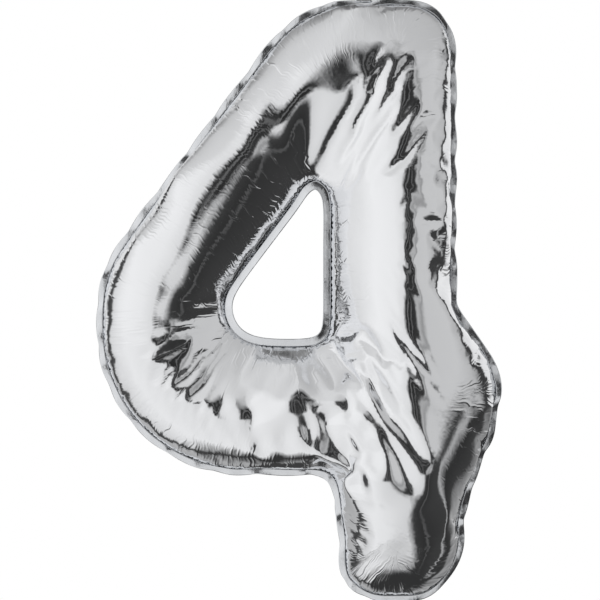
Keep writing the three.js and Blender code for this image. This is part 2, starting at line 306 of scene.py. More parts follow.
@dataclass(frozen=True)
class FusedFilm:
    """The same film where two plies are fused by a heated bar.

    To the eye it is duller than the blown film, with the bar's fine knurl pressed into it.
    """

    name: str = "heat_fused_metallised_film"
    colour: str = "e6e8eb"
    smooth: float = 0.07
    rough: float = 0.18
    scuff_patch: float = 12.0
    knurl: float = 1.8
    knurl_height: float = 0.05
    cockle_pitch: float = 9.0
    cockle_height: float = 0.35

    def material(self) -> bpy.types.Material:
        """Returns the material: knurl and cockles in the bump, scuffs in the roughness."""
        material, shader = surface_material(self.name)
        tree = material.node_tree
        shader.inputs["Base Color"].default_value = linear(self.colour)
        shader.inputs["Metallic"].default_value = 1.0
        place = add(tree, "ShaderNodeTexCoord").outputs["Object"]
        scuff = add(
            tree,
            "ShaderNodeTexNoise",
            {"Scale": 1 / (self.scuff_patch * MM), "Detail": 4.0},
            {"Vector": place},
        )
        spread = add(
            tree,
            "ShaderNodeMapRange",
            {"From Min": 0.35, "From Max": 0.65, "To Min": self.smooth, "To Max": self.rough},
            {"Value": scuff.outputs["Fac"]},
        )
        tree.links.new(spread.outputs["Result"], shader.inputs["Roughness"])
        knurl = add(
            tree,
            "ShaderNodeTexVoronoi",
            {"feature": "F1", "Scale": 1 / (self.knurl * MM), "Randomness": 0.15},
            {"Vector": place},
        )
        cockle = add(
            tree,
            "ShaderNodeTexNoise",
            {"Scale": 1 / (self.cockle_pitch * MM), "Detail": 2.0},
            {"Vector": place},
        )
        fine = add(
            tree,
            "ShaderNodeBump",
            {"Distance": self.knurl_height * MM, "Strength": 1.0},
            {"Height": knurl.outputs["Distance"]},
        )
        coarse = add(
            tree,
            "ShaderNodeBump",
            {"Distance": self.cockle_height * MM, "Strength": 1.0},
            {"Height": cockle.outputs["Fac"], "Normal": fine.outputs["Normal"]},
        )
        tree.links.new(coarse.outputs["Normal"], shader.inputs["Normal"])
        return material


@dataclass(frozen=True)
class CastFilm:
    """A dull plastic film or varnish of the valve: cast polyethylene, or a printed lacquer.

    To the eye the film is milky with a soft gloss, and the lacquer is chalky and speckled.
    """

    name: str
    colour: str
    speck_colour: str
    speck_pitch: float
    roughness: float
    clear: float = 0.0
    ior: float = 1.51
    wave_pitch: float = 6.0
    wave_height: float = 0.08

    def material(self) -> bpy.types.Material:
        """Returns the film's material: specks in the colour, slow waves in the bump."""
        material, shader = surface_material(self.name)
        tree = material.node_tree
        shader.inputs["Roughness"].default_value = self.roughness
        shader.inputs["IOR"].default_value = self.ior
        shader.inputs["Transmission Weight"].default_value = self.clear
        place = add(tree, "ShaderNodeTexCoord").outputs["Object"]
        speck = add(
            tree,
            "ShaderNodeTexNoise",
            {"Scale": 1 / (self.speck_pitch * MM), "Detail": 4.0},
            {"Vector": place},
        )
        share = add(
            tree,
            "ShaderNodeMapRange",
            {"From Min": 0.45, "From Max": 0.6},
            {"Value": speck.outputs["Fac"]},
        )
        colours = add(
            tree,
            "ShaderNodeMix",
            {"data_type": "RGBA", 6: linear(self.colour), 7: linear(self.speck_colour)},
            {"Factor": share.outputs["Result"]},
        )
        tree.links.new(colours.outputs[2], shader.inputs["Base Color"])
        wave = add(
            tree,
            "ShaderNodeTexNoise",
            {"Scale": 1 / (self.wave_pitch * MM), "Detail": 1.0},
            {"Vector": place},
        )
        bump = add(
            tree,
            "ShaderNodeBump",
            {"Distance": self.wave_height * MM, "Strength": 1.0},
            {"Height": wave.outputs["Fac"]},
        )
        tree.links.new(bump.outputs["Normal"], shader.inputs["Normal"])
        return material


# ---- plane geometry ----------------------------------------------------------------------


def rounded_loop(corners: np.ndarray, pitch: float) -> np.ndarray:
    """Draws a closed outline whose corners are rounded, at an even spacing.

    Each corner is cut by an arc that touches both sides; the reach along a side is the
    radius over the tangent of half the corner's angle, and never over SIDE_SHARE of the side.

    Args:
        corners: Rows of x, z and radius, going round the outline.
        pitch: Spacing of the points along it.

    Returns:
        Points, counter-clockwise, as rows of x and z.
    """
    here, radius = corners[:, :2], corners[:, 2]
    to_last = np.roll(here, 1, 0) - here
    to_next = np.roll(here, -1, 0) - here
    length_last = np.linalg.norm(to_last, axis=1)
    length_next = np.linalg.norm(to_next, axis=1)
    u, v = to_last / length_last[:, None], to_next / length_next[:, None]
    half = np.arccos(np.clip((u * v).sum(1), -1, 1)) / 2
    reach = np.minimum(radius / np.tan(half), SIDE_SHARE * np.minimum(length_last, length_next))
    radius = reach * np.tan(half)
    middle = (u + v) / np.linalg.norm(u + v, axis=1)[:, None]
    centre = here + middle * (radius / np.sin(half))[:, None]
    first, last = here + u * reach[:, None] - centre, here + v * reach[:, None] - centre
    start = np.arctan2(first[:, 1], first[:, 0])
    turn = (np.arctan2(last[:, 1], last[:, 0]) - start + math.pi) % (2 * math.pi) - math.pi
    angle = start[:, None] + turn[:, None] * np.linspace(0, 1, ARC_STEPS)
    arcs = centre[:, None] + radius[:, None, None] * np.stack([np.cos(angle), np.sin(angle)], 2)
    loop = evenly(arcs.reshape(-1, 2), pitch)
    return loop if signed_area(loop) > 0 else loop[::-1]


def evenly(loop: np.ndarray, pitch: float) -> np.ndarray:
    """Spaces the points of a closed line evenly by its length.

    Args:
        loop: Points of the closed line.
        pitch: Wanted spacing.

    Returns:
        The line's points again, spaced as near to pitch as a whole number of them allows.
    """
    closed = np.vstack([loop, loop[:1]])
    along = np.concatenate([[0], np.cumsum(np.linalg.norm(np.diff(closed, axis=0), axis=1))])
    count = max(8, round(along[-1] / pitch))
    at = np.arange(count) * along[-1] / count
    return np.stack([np.interp(at, along, closed[:, k]) for k in range(loop.shape[1])], 1)


def signed_area(loop: np.ndarray) -> float:
    """Returns the area inside a closed line of x and z, positive if it runs counter-clockwise."""
    x, z = loop.T
    return 0.5 * float(np.sum(x * np.roll(z, -1) - np.roll(x, -1) * z))


def averaged_round(values: np.ndarray, width: float) -> np.ndarray:
    """Averages values along a closed line with a bell-shaped weight.

    Args:
        values: One row for each point of the line.
        width: The bell's standard deviation, as a number of points.

    Returns:
        The averaged rows.
    """
    reach = np.arange(len(values))
    reach = np.minimum(reach, len(values) - reach)
    weight = np.exp(-0.5 * (reach / width) ** 2)
    spectrum = np.fft.rfft(weight / weight.sum())[:, None]
    return np.fft.irfft(np.fft.rfft(values, axis=0) * spectrum, len(values), axis=0)


def moved_out(loop: np.ndarray, by: float) -> np.ndarray:
    """Moves a counter-clockwise line of x and z outwards, square to its own run.

    Args:
        loop: The line's points.
        by: How far; a negative distance moves it inwards.

    Returns:
        The moved points.
    """
    run = np.roll(loop, -1, 0) - np.roll(loop, 1, 0)
    run /= np.linalg.norm(run, axis=1)[:, None]
    return loop + by * np.stack([run[:, 1], -run[:, 0]], 1)


def is_inside(points: np.ndarray, loop: np.ndarray) -> np.ndarray:
    """Tells which points a closed line goes round, by counting the sides that a ray crosses.

    Args:
        points: Rows of x and z.
        loop: The line's points, as rows of x and z.

    Returns:
        True for each point inside.
    """
    x, z = points[:, :1], points[:, 1:2]
    ax, az = loop.T
    bx, bz = np.roll(loop, -1, 0).T
    crosses = (az > z) != (bz > z)
    at = (bx - ax) * (z - az) / np.where(bz == az, 1, bz - az) + ax
    return (crosses & (x < at)).sum(1) % 2 == 1


def nearest_on(points: np.ndarray, loop: np.ndarray) -> np.ndarray:
    """Finds the nearest place on a closed line to each point.

    Args:
        points: Rows of x and z.
        loop: The line's points, as rows of x and z.

    Returns:
        For each point, the x and z of the nearest place.
    """
    side = np.roll(loop, -1, 0) - loop
    away = points[:, None] - loop[None]
    share = np.clip((away * side).sum(2) / (side**2).sum(1), 0, 1)
    places = loop[None] + share[:, :, None] * side[None]
    best = ((points[:, None] - places) ** 2).sum(2).argmin(1)
    return places[np.arange(len(points)), best]


def distance_to(points: np.ndarray, loop: np.ndarray) -> np.ndarray:
    """Returns each point's distance to a closed line of x and z."""
    return np.linalg.norm(points - nearest_on(points, loop), axis=1)


# ---- meshes ------------------------------------------------------------------------------


def new_object(name: str, points: np.ndarray, faces: list) -> bpy.types.Object:
    """Makes a mesh object at the origin, shaded smooth.

    Args:
        name: Name of the piece.
        points: Vertices, in metres.
        faces: Lists of vertex numbers.

    Returns:
        The object, linked to the scene.
    """
    mesh = bpy.data.meshes.new(name)
    mesh.from_pydata(points.tolist(), [], faces)
    mesh.update()
    mesh.shade_smooth()
    made = bpy.data.objects.new(name, mesh)
    bpy.context.scene.collection.objects.link(made)
    return made


def vertices_of(mesh: bpy.types.Mesh) -> np.ndarray:
    """Returns a mesh's vertices as rows of x, y and z."""
    flat = np.zeros(len(mesh.vertices) * 3)
    mesh.vertices.foreach_get("co", flat)
    return flat.reshape(-1, 3)


def set_vertices(mesh: bpy.types.Mesh, points: np.ndarray) -> None:
    """Gives a mesh's vertices new places."""
    mesh.vertices.foreach_set("co", points.ravel())
    mesh.update()


def bake_modifiers(piece: bpy.types.Object) -> None:
    """Puts what a piece's modifiers make into its mesh and removes them.

    Args:
        piece: The piece.
    """
    done = piece.evaluated_get(bpy.context.evaluated_depsgraph_get())
    mesh = bpy.data.meshes.new_from_object(done)
    piece.modifiers.clear()
    piece.data = mesh
    mesh.name = piece.name


def refine(piece: bpy.types.Object, levels: int) -> None:
    """Rounds a piece by Catmull-Clark subdivision and keeps the result as its mesh.

    Args:
        piece: The piece.
        levels: How many times its faces are split.
    """
    rounding = piece.modifiers.new("rounding", "SUBSURF")
    rounding.levels = rounding.render_levels = levels
    bake_modifiers(piece)


def thicken(piece: bpy.types.Object, thickness: float, offset: float) -> None:
    """Gives a film piece its thickness.

    Args:
        piece: An open film surface whose faces point outwards.
        thickness: In metres.
        offset: -1 to grow inwards, 0 to grow both ways, 1 to grow outwards.
    """
    wall = piece.modifiers.new("film", "SOLIDIFY")
    wall.thickness, wall.offset = thickness, offset
    bake_modifiers(piece)


def grid_faces(rows: int, columns: int, closed: bool = False) -> list:
    """Returns the quads of a grid whose points run along each row in turn.

    Args:
        rows: Number of rows of points.
        columns: Number of points in a row.
        closed: Whether each row's last point joins its first.

    Returns:
        Lists of four vertex numbers.
    """
    index = np.arange(rows * columns).reshape(rows, columns)
    if closed:
        index = np.hstack([index, index[:, :1]])
    a, b, c, d = index[:-1, :-1], index[:-1, 1:], index[1:, 1:], index[1:, :-1]
    return np.stack([a, b, c, d], 2).reshape(-1, 4).tolist()


def dress(piece: bpy.types.Object, material: bpy.types.Material) -> None:
    """Gives a piece its material.

    Args:
        piece: The piece.
        material: Its finish.
    """
    piece.data.materials.clear()
    piece.data.materials.append(material)


def outlines_of(node: bpy.types.Object) -> list[np.ndarray]:
    """Reads the outlines of a frame node, seen from the back.

    Vertices are merged, and the sides that only one back-facing triangle has are strung
    into loops.

    Args:
        node: A frame node that is one open skin when it is seen from the back.

    Returns:
        Loops of x and z in metres, counter-clockwise, the largest first.
    """
    mesh = node.data
    mesh.calc_loop_triangles()
    corner = np.zeros(len(mesh.loop_triangles) * 3, int)
    mesh.loop_triangles.foreach_get("vertices", corner)
    places, merged = np.unique(vertices_of(mesh).round(6), axis=0, return_inverse=True)
    corner = merged.reshape(-1)[corner].reshape(-1, 3)
    a, b, c = (places[corner[:, k]] for k in range(3))
    corner = corner[np.cross(b - a, c - a)[:, 1] > 1e-12]
    sides = np.vstack([corner[:, [0, 1]], corner[:, [1, 2]], corner[:, [2, 0]]])
    known = set(map(tuple, sides.tolist()))
    follow = {p: q for p, q in known if (q, p) not in known}
    loops = []
    while follow:
        strung = [next(iter(sorted(follow)))]
        while strung[-1] in follow:
            strung.append(follow.pop(strung[-1]))
        loop = places[strung[:-1]][:, [0, 2]]
        loops.append(loop if signed_area(loop) > 0 else loop[::-1])
    return sorted(loops, key=signed_area, reverse=True)


# ---- the flat cut and its film -----------------------------------------------------------


@dataclass
class FlatFilm:
    """Two plies of film lying flat and joined along their seams, with the fused margins.

    Attributes:
        points: Vertices in metres; the first crown_count belong to the plies.
        front: Triangles of the front ply.
        back: Triangles of the back ply.
        outer_seam: Vertices along the outer seam.
        counter_seam: Vertices along the counter's seam.
        outer_margin: Rows of vertices across the outer margin, from the seam out.
        counter_margin: Rows of vertices across the counter's margin, from the seam in.
        crown_count: How many vertices the gas presses on.
    """

    points: np.ndarray
    front: np.ndarray
    back: np.ndarray
    outer_seam: np.ndarray
    counter_seam: np.ndarray
    outer_margin: np.ndarray
    counter_margin: np.ndarray
    crown_count: int


@dataclass(frozen=True)
class Inflation:
    """Blows the flat film up as cloth that hardly stretches and hardly resists bending.

    The gas pressure rises evenly from first_pressure to pressure at full_frame, then holds.
    """

    frames: int = 46
    steps: int = 6
    first_pressure: float = 6.0
    pressure: float = 100.0
    full_frame: int = 14
    vertex_mass: float = 0.012
    stretch: float = 150.0
    bending: float = 0.02
    stretch_damping: float = 5.0
    bending_damping: float = 0.5
    air_damping: float = 6.0
    still_depth: float = 95.0

    def blown(self, film: FlatFilm) -> np.ndarray:
        """Blows the film up.

        Args:
            film: The flat film.

        Returns:
            Its vertices when it is full, in metres.
        """
        faces = film.front.tolist() + film.back.tolist()
        for rows in (film.outer_margin, film.counter_margin):
            flat = np.array(grid_faces(*rows.shape, closed=True))
            faces += rows.ravel()[flat].tolist()
        balloon = new_object("blown_film", film.points, faces)
        group = balloon.vertex_groups.new(name="gas")
        group.add(list(range(film.crown_count)), 1.0, "REPLACE")
        cloth = balloon.modifiers.new("film", "CLOTH")
        self._set(cloth)
        for frame, pressure in ((1, self.first_pressure), (self.full_frame, self.pressure)):
            cloth.settings.uniform_pressure_force = pressure
            cloth.settings.keyframe_insert("uniform_pressure_force", frame=frame)
        scene = bpy.context.scene
        scene.frame_start, scene.frame_end = 1, self.frames
        for frame in range(1, self.frames + 1):
            scene.frame_set(frame)
        done = balloon.evaluated_get(bpy.context.evaluated_depsgraph_get())
        full = vertices_of(done.data)
        mesh = balloon.data
        bpy.data.objects.remove(balloon)
        bpy.data.meshes.remove(mesh)
        return full

    def _set(self, cloth: bpy.types.Modifier) -> None:
        """Gives the cloth this film's properties.

        Args:
            cloth: The cloth modifier to set.
        """
        film = cloth.settings
        film.quality, film.mass = self.steps, self.vertex_mass
        film.tension_stiffness = film.compression_stiffness = film.shear_stiffness = self.stretch
        film.bending_model, film.bending_stiffness = "ANGULAR", self.bending
        film.tension_damping = film.compression_damping = film.shear_damping = self.stretch_damping
        film.bending_damping, film.air_damping = self.bending_damping, self.air_damping
        film.use_pressure = True
        film.vertex_group_pressure = "gas"
        film.effector_weights.gravity = 0
        cloth.collision_settings.use_collision = False
        cloth.collision_settings.use_self_collision = False
        cloth.point_cache.frame_start, cloth.point_cache.frame_end = 1, self.frames


@dataclass(frozen=True)
class CutPattern:
    """The flat shape the film is cut and sealed to, before gas rounds it and draws it in.

    It is found as a pattern maker finds it, from the frame's seam lines alone. A first cut,
    larger all round, is blown up coarsely. How far each seam point misses the frame's seam
    is averaged along the seam, and the cut is moved by that. This is done a few times over.
    """

    first_oversize: float = 1.15
    trials: int = 5
    trial_pitch: float = 14.0
    trial: Inflation = Inflation(frames=30)
    gain: float = 0.9
    average_over: float = 60.0
    last_average: float = 2.0
    pitch: float = 8.0
    scatter: float = 0.12
    seam_clearance: float = 0.62
    first_bulge: float = 25.0
    bulge_reach: float = 60.0
    outer_margin: float = 8.0
    counter_margin: float = 11.0
    seed: int = 9

    def cut(self, seams: list[np.ndarray]) -> list[np.ndarray]:
        """Finds the flat cut whose seams, once blown, lie on the frame's.

        Args:
            seams: The frame's outer seam and counter's seam, as x and z in metres.

        Returns:
            The outer line and the counter's line of the cut, in millimetres.
        """
        wanted = [evenly(line / MM, self.trial_pitch) for line in seams]
        middle = (wanted[0].min(0) + wanted[0].max(0)) / 2
        moves = [(self.first_oversize - 1) * (line - middle) for line in wanted]
        for trial in range(self.trials):
            lines = [(line + move).round(2) for line, move in zip(wanted, moves)]
            film = self.film(*lines, self.trial_pitch)
            full = self.trial.blown(film)[:, ::2] / MM
            blown = (full[film.outer_seam], full[film.counter_seam])
            missed = [line - seam for line, seam in zip(wanted, blown)]
            drift = np.vstack(missed).mean(0)
            width = self.average_over / self.trial_pitch
            missed = [averaged_round(miss - drift, width) for miss in missed]
            mean = np.linalg.norm(np.vstack(missed), axis=1).mean()
            LOG.info("cut %d misses by %.1f mm", trial, mean)
            moves = [move + self.gain * miss for move, miss in zip(moves, missed)]
        cut = []
        for seam, move in zip(seams, moves):
            line = evenly(seam / MM, self.pitch)
            way, known = np.arange(len(line)) / len(line), np.arange(len(move)) / len(move)
            shift = np.stack([np.interp(way, known, move[:, k], period=1) for k in (0, 1)], 1)
            cut.append(evenly(line + averaged_round(shift, self.last_average), self.pitch).round(2))
        return cut

    def film(self, outer: np.ndarray, counter: np.ndarray, pitch: float) -> FlatFilm:
        """Lays out both plies and the margins of a cut.

        A triangular lattice, its points scattered a little so that no fold follows a row, is
        kept clear of the seams and joined by Delaunay triangles. The inner points are then
        doubled, so that the plies share only their seams, and lifted by the square root of
        their distance to the nearest seam.

        Args:
            outer: Points along the outer seam, in millimetres.
            counter: Points along the counter's seam.
            pitch: Spacing of the film's points.

        Returns:
            The film.
        """
        seams = np.vstack([outer, counter])
        plane, triangles = self._triangles(outer, counter, pitch)
        gap = np.minimum(distance_to(plane, outer), distance_to(plane, counter))
        inner = gap > 1e-3
        twin = np.arange(len(plane))
        twin[inner] = len(plane) + np.arange(inner.sum())
        total = len(plane) + inner.sum()
        crown = np.zeros((total, 3))
        crown[: len(plane), ::2] = plane
        crown[twin, ::2] = plane
        lift = self.first_bulge * np.sqrt(np.clip(gap / self.bulge_reach, 0, 1))
        crown[: len(plane), 1] -= lift
        crown[twin, 1] += lift
        order = np.array([((plane - p) ** 2).sum(1).argmin() for p in seams])
        outer_seam, counter_seam = order[: len(outer)], order[len(outer) :]
        strips, rows = [], []
        for seam, line, width in (
            (outer_seam, outer, self.outer_margin),
            (counter_seam, counter, -self.counter_margin),
        ):
            first = total + sum(len(s) for s in strips)
            strip = np.vstack([moved_out(line, width / 2), moved_out(line, width)])
            rows.append(np.vstack([seam, first + np.arange(len(strip)).reshape(2, -1)]))
            strips.append(np.insert(strip, 1, 0, axis=1))
        return FlatFilm(
            points=np.vstack([crown, *strips]) * MM,
            front=triangles,
            back=twin[triangles][:, ::-1],
            outer_seam=outer_seam,
            counter_seam=counter_seam,
            outer_margin=rows[0],
            counter_margin=rows[1],
            crown_count=total,
        )

    def _triangles(
        self, outer: np.ndarray, counter: np.ndarray, pitch: float
    ) -> tuple[np.ndarray, np.ndarray]:
        """Fills the cut with Delaunay triangles that face the front.

        Args:
            outer: Points along the outer seam.
            counter: Points along the counter's seam.
            pitch: Spacing of the points between them.

        Returns:
            Points of x and z, and triangles as rows of three point numbers.
        """
        low, high = outer.min(0), outer.max(0)
        heights = np.arange(low[1], high[1], pitch * math.sqrt(3) / 2)
        z, x = np.meshgrid(heights, np.arange(low[0], high[0], pitch), indexing="ij")
        x = x + (np.arange(len(x)) % 2)[:, None] * pitch / 2
        lattice = np.stack([x.ravel(), z.ravel()], 1)
        lattice += np.random.default_rng(self.seed).normal(0, self.scatter * pitch, lattice.shape)
        lattice = lattice[is_inside(lattice, outer) & ~is_inside(lattice, counter)]
        clear = self.seam_clearance * pitch
        lattice = lattice[(distance_to(lattice, outer) > clear) & (distance_to(lattice, counter) > clear)]
        n, m = len(outer), len(counter)
        ring = [(i, (i + 1) % n) for i in range(n)] + [(n + i, n + (i + 1) % m) for i in range(m)]
        points = [Vector(p) for p in np.vstack([outer, counter, lattice]).tolist()]
        found = geometry.delaunay_2d_cdt(points, ring, [], 0, 1e-6)
        plane, triangles = np.array([p[:] for p in found[0]]), np.array([list(t) for t in found[2]])
        centre = plane[triangles].mean(1)
        triangles = triangles[is_inside(centre, outer) & ~is_inside(centre, counter)]
        a, b, c = (plane[triangles[:, k]] for k in range(3))
        turned = (b - a)[:, 0] * (c - a)[:, 1] - (b - a)[:, 1] * (c - a)[:, 0] < 0
        triangles[turned] = triangles[turned][:, ::-1]
        return plane, triangles


@dataclass(frozen=True)
class SeamFit:
    """Eases the blown film onto the frame's seam lines, and keeps its puckers.

    At each seam point the step to the frame's seam is averaged over a stretch of seam, so
    that only the slow difference goes. The rest of the film moves by the mean of those
    steps, weighted by one over the fourth power of its distance to each.
    """

    passes: int = 2
    average_over: float = 16.0
    softness: float = 18.0

    def eased(
        self,
        full: np.ndarray,
        film: FlatFilm,
        outer: np.ndarray,
        counter: np.ndarray,
        depth: float,
    ) -> np.ndarray:
        """Moves the film.

        Args:
            full: Vertices of the blown film, in metres.
            film: Its flat layout.
            outer: The frame's outer seam, as x and z.
            counter: The frame's counter seam, as x and z.
            depth: Half the depth that the crowns have in the frame.

        Returns:
            The vertices in their final places.
        """
        middle = [(line.min(0) + line.max(0)) / 2 for line in (outer, full[film.outer_seam][:, ::2])]
        placed = full.copy()
        placed[:, ::2] += middle[0] - middle[1]
        for _ in range(self.passes):
            starts, steps = [], []
            for seam, line in ((film.outer_seam, outer), (film.counter_seam, counter)):
                here = placed[seam]
                there = nearest_on(here[:, ::2], line)
                aside, up = there[:, 0] - here[:, 0], there[:, 1] - here[:, 2]
                step = np.stack([aside, -here[:, 1], up], 1)
                starts.append(here[:, ::2])
                gap = np.linalg.norm(np.roll(here, -1, 0) - here, axis=1).mean()
                steps.append(averaged_round(step, self.average_over * MM / gap))
            placed = placed + self._spread(placed[:, ::2], np.vstack(starts), np.vstack(steps))
        placed[:, 1] *= depth / np.abs(placed[:, 1]).max()
        return placed

    def _spread(self, plane: np.ndarray, starts: np.ndarray, steps: np.ndarray) -> np.ndarray:
        """Carries the seam's steps into the film by inverse distance.

        Args:
            plane: Film points, as x and z.
            starts: Seam points, as x and z.
            steps: The step of each seam point.

        Returns:
            The step of each film point.
        """
        apart = ((plane[:, None] - starts[None]) ** 2).sum(2)
        weight = 1 / (apart + (self.softness * MM) ** 2) ** 2
        return weight @ steps / weight.sum(1)[:, None]


@dataclass(frozen=True)
class TautStretch:
    """A stretch of a stroke that the gas draws smooth, so that no fold crosses it.

    Film points near the stroke's middle line are averaged with their neighbours, one step
    in and a slightly longer one out, which takes the folds away and keeps the roundness.
    """

    start: tuple[float, float]
    end: tuple[float, float]
    full_reach: float = 78.0
    fade_reach: float = 112.0
    rounds: int = 40
    step_in: float = 0.6
    step_out: float = 0.62
    seam_average: float = 2.5

    def drawn(self, points: np.ndarray, film: FlatFilm) -> np.ndarray:
        """Draws this stretch smooth.

        Args:
            points: The film's vertices, in metres.
            film: Its flat layout.

        Returns:
            The vertices, moved.
        """
        start, end = np.array(self.start) * MM, np.array(self.end) * MM
        line = end - start
        away = points[:, ::2] - start
        share = np.clip(away @ line / (line @ line), 0, 1)[:, None]
        reach = np.linalg.norm(away - share * line, axis=1) / MM
        hold = np.clip((self.fade_reach - reach) / (self.fade_reach - self.full_reach), 0, 1)
        hold = (hold * hold * (3 - 2 * hold))[:, None]
        drawn = points.copy()
        for seam in (film.outer_seam, film.counter_seam):
            smooth = averaged_round(drawn[seam], self.seam_average)
            drawn[seam] += hold[seam] * (smooth - drawn[seam])
            hold[seam] = 0
        faces = np.vstack([film.front, film.back])
        sides = np.vstack([faces[:, [0, 1]], faces[:, [1, 2]], faces[:, [2, 0]]])
        sides = np.unique(np.sort(sides, 1), axis=0)
        a, b = sides.T
        count = np.maximum(np.bincount(np.r_[a, b], minlength=len(points)), 1)[:, None]
        for turn in range(2 * self.rounds):
            near = [np.r_[drawn[b, k], drawn[a, k]] for k in range(3)]
            total = np.stack([np.bincount(np.r_[a, b], one, len(points)) for one in near], 1)
            step = -self.step_out if turn % 2 else self.step_in
            drawn = drawn + hold * step * (total / count - drawn)
        return drawn


# ---- sub-assemblies ----------------------------------------------------------------------


@dataclass(frozen=True)
class SeamPleats:
    """Fine pleats that gather the film along its seams.

    A pleat is a ridge, one less the size of a sine of the way along the seam. Its height
    rises from nothing at the seam and dies out by the exponential of the distance from it.
    The way is shifted by slow sines, so the pleats are unevenly spaced and lean.
    """

    pitch: float = 15.0
    height: float = 0.9
    rise: float = 5.0
    reach: float = 34.0
    lean: float = 0.35
    lean_over: float = 97.0
    waves: tuple[float, ...] = (37, 61, 104, 173)
    shift: float = 0.09
    strength: float = 0.55
    strength_swing: float = 0.22
    strength_stretch: float = 2.3
    mean_ridge: float = 0.36
    seed: int = 31

    def press(self, piece: bpy.types.Object) -> None:
        """Presses the pleats into a panel.

        Args:
            piece: A panel that carries its run along the seams as the attribute "run".
        """
        mesh = piece.data
        run = np.zeros(len(mesh.vertices) * 2, np.float32)
        mesh.attributes["run"].data.foreach_get("vector", run)
        along, away = run.reshape(-1, 2).T / MM
        random = np.random.default_rng(self.seed)
        turn = 2 * math.pi
        shifted = along + self.lean * away * np.sin(along / self.lean_over)
        strength = np.full_like(along, self.strength)
        for wave in self.waves:
            swing = np.sin(turn * (along / wave + random.random()))
            shifted = shifted + self.shift * wave * swing
            long = self.strength_stretch * wave
            strength += self.strength_swing * np.sin(turn * (along / long + random.random()))
        ridge = 1 - np.abs(np.sin(math.pi * shifted / self.pitch))
        fade = np.exp(-away / self.reach) * (1 - np.exp(-away / self.rise))
        lift = self.height * MM * np.clip(strength, 0, 1) * (ridge - self.mean_ridge) * fade
        normals = np.zeros(len(mesh.vertices) * 3, np.float32)
        mesh.vertex_normals.foreach_get("vector", normals)
        set_vertices(mesh, vertices_of(mesh) + lift[:, None] * normals.reshape(-1, 3))
        mesh.attributes.remove(mesh.attributes["run"])


